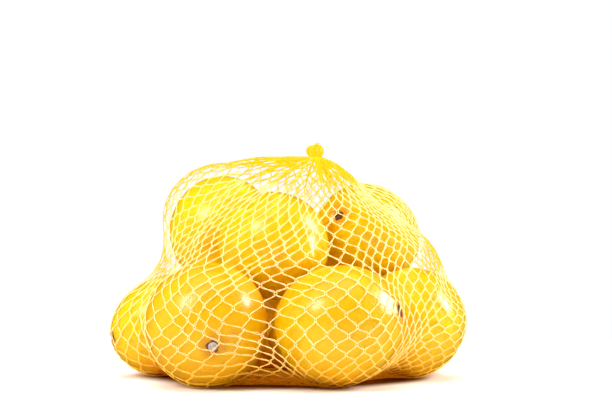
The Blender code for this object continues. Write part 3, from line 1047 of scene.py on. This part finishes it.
# %% The gathered foot
FOOT_PATH = np.array([(28, -4, 6.0), (28, -3, 3.6), (29, 1, 2.4), (32, 7, 2.4), (34, 14, 2.4)], float)

foot_path = np.concatenate([np.linspace(a, b, 8, endpoint=False) for a, b in zip(FOOT_PATH, FOOT_PATH[1:])])
piece = bundle_piece("bottom_gather", even_steps(foot_path, 60), (0, 0, 1), 24, 3.0, 0.5, 0.8, 6)
print("bottom gather,", triangles(piece), "triangles")

# %% [markdown]
# ## Table
# The bag stands on a plain white table top. It is a large flat sheet, nearly white, a little brighter
# than the light that falls on it, so that the shadows the render casts on it stay small. Round the
# bag's foot it is painted: a dark brown painted shadow where the camera sees it, and a painted
# orange bounce light that it sends up to the fruit. Further from the bag it turns plain white.

# %% Table
TABLE_SHOWN, TABLE_BOUNCE, TABLE_IN_SHINE = 1.0, 0.9, 0.03  # to the camera, as light, in the wax
FOOTPRINT = (0.086, 0.094, 1.0)  # m, half the width and depth of the ground that the bag covers
FOOTPRINT_MIDDLE = (0.0, 0.014, 0.0)
# Painted shadow: the dark brown that the camera sees on the table round the bag's foot.
PAINTED_SHADOW_UNDER_BAG = (0.22, 0.085, 0.015)  # the table through the flattened netting under the fruit
# Painted light: an orange bounce put on the table round the bag's foot, which it sends up to the fruit.
PAINTED_BOUNCE_UNDER_BAG = (1.0, 0.52, 0.03)  # the light it sends back up, which has been on the rind before
TABLE_FADE = 0.15, 0.34  # m from the bag, over which the table turns plain white


def grey(value):
    return value, value, value, 1


table_top = bpy.data.materials.new("table_top")
table_top.use_nodes = True
tree = table_top.node_tree
tree.nodes.clear()
rays = add_node(tree, "ShaderNodeLightPath")
shown = add_node(tree, "ShaderNodeBsdfDiffuse")
bounce = add_node(tree, "ShaderNodeBsdfDiffuse")
mirrored = add_node(tree, "ShaderNodeBsdfDiffuse", Color=grey(TABLE_IN_SHINE))
plain = add_node(tree, "ShaderNodeEmission", Color=grey(1.0))
place = add_node(tree, "ShaderNodeTexCoord")
away = add_node(tree, "ShaderNodeVectorMath", operation="LENGTH")
tree.links.new(place.outputs["Object"], away.inputs[0])
footprint = add_node(tree, "ShaderNodeVectorMath", operation="DIVIDE")
footprint.inputs[1].default_value = FOOTPRINT
shifted = add_node(tree, "ShaderNodeVectorMath", operation="SUBTRACT")
shifted.inputs[1].default_value = FOOTPRINT_MIDDLE
tree.links.new(place.outputs["Object"], shifted.inputs[0])
tree.links.new(shifted.outputs["Vector"], footprint.inputs[0])
beside = add_node(tree, "ShaderNodeVectorMath", operation="LENGTH")
tree.links.new(footprint.outputs["Vector"], beside.inputs[0])
clear = add_node(tree, "ShaderNodeMapRange", interpolation_type="SMOOTHSTEP")
clear.inputs["From Min"].default_value, clear.inputs["From Max"].default_value = 0.78, 1.0
tree.links.new(beside.outputs["Value"], clear.inputs["Value"])
# Painted shadow: inside the footprint the table shown to the camera is dark brown, fading to white at its edge.
shade = mix_colours(tree, clear.outputs["Result"], PAINTED_SHADOW_UNDER_BAG, (TABLE_SHOWN,) * 3)
tree.links.new(shade, shown.inputs["Color"])
# Painted light: inside the footprint the table lights the fruit with the orange bounce colour.
back = mix_colours(tree, clear.outputs["Result"], PAINTED_BOUNCE_UNDER_BAG, (TABLE_BOUNCE,) * 3)
tree.links.new(back, bounce.inputs["Color"])
fade = add_node(tree, "ShaderNodeMapRange", interpolation_type="SMOOTHSTEP")
fade.inputs["From Min"].default_value, fade.inputs["From Max"].default_value = TABLE_FADE
tree.links.new(away.outputs["Value"], fade.inputs["Value"])
out = add_node(tree, "ShaderNodeOutputMaterial")


def choose(factor, first, second):
    """A Mix Shader node's result: first where the factor is 0, second where it is 1."""
    mixed = add_node(tree, "ShaderNodeMixShader")
    tree.links.new(factor, mixed.inputs["Fac"])
    tree.links.new(first, mixed.inputs[1])
    tree.links.new(second, mixed.inputs[2])
    return mixed.outputs["Shader"]


seen = choose(fade.outputs["Result"], shown.outputs["BSDF"], plain.outputs["Emission"])
unseen = choose(rays.outputs["Is Glossy Ray"], bounce.outputs["BSDF"], mirrored.outputs["BSDF"])
tree.links.new(choose(rays.outputs["Is Camera Ray"], unseen, seen), out.inputs["Surface"])
TABLE_HALF = 1.2  # m
corners = np.array([(-1, -1, 0), (1, -1, 0), (1, 1, 0), (-1, 1, 0)], float) * TABLE_HALF
mesh = bpy.data.meshes.new("table")
mesh.from_pydata(corners.tolist(), [], [(0, 1, 2, 3)])
mesh.materials.append(table_top)
table = bpy.data.objects.new("table", mesh)
bpy.context.scene.collection.objects.link(table)
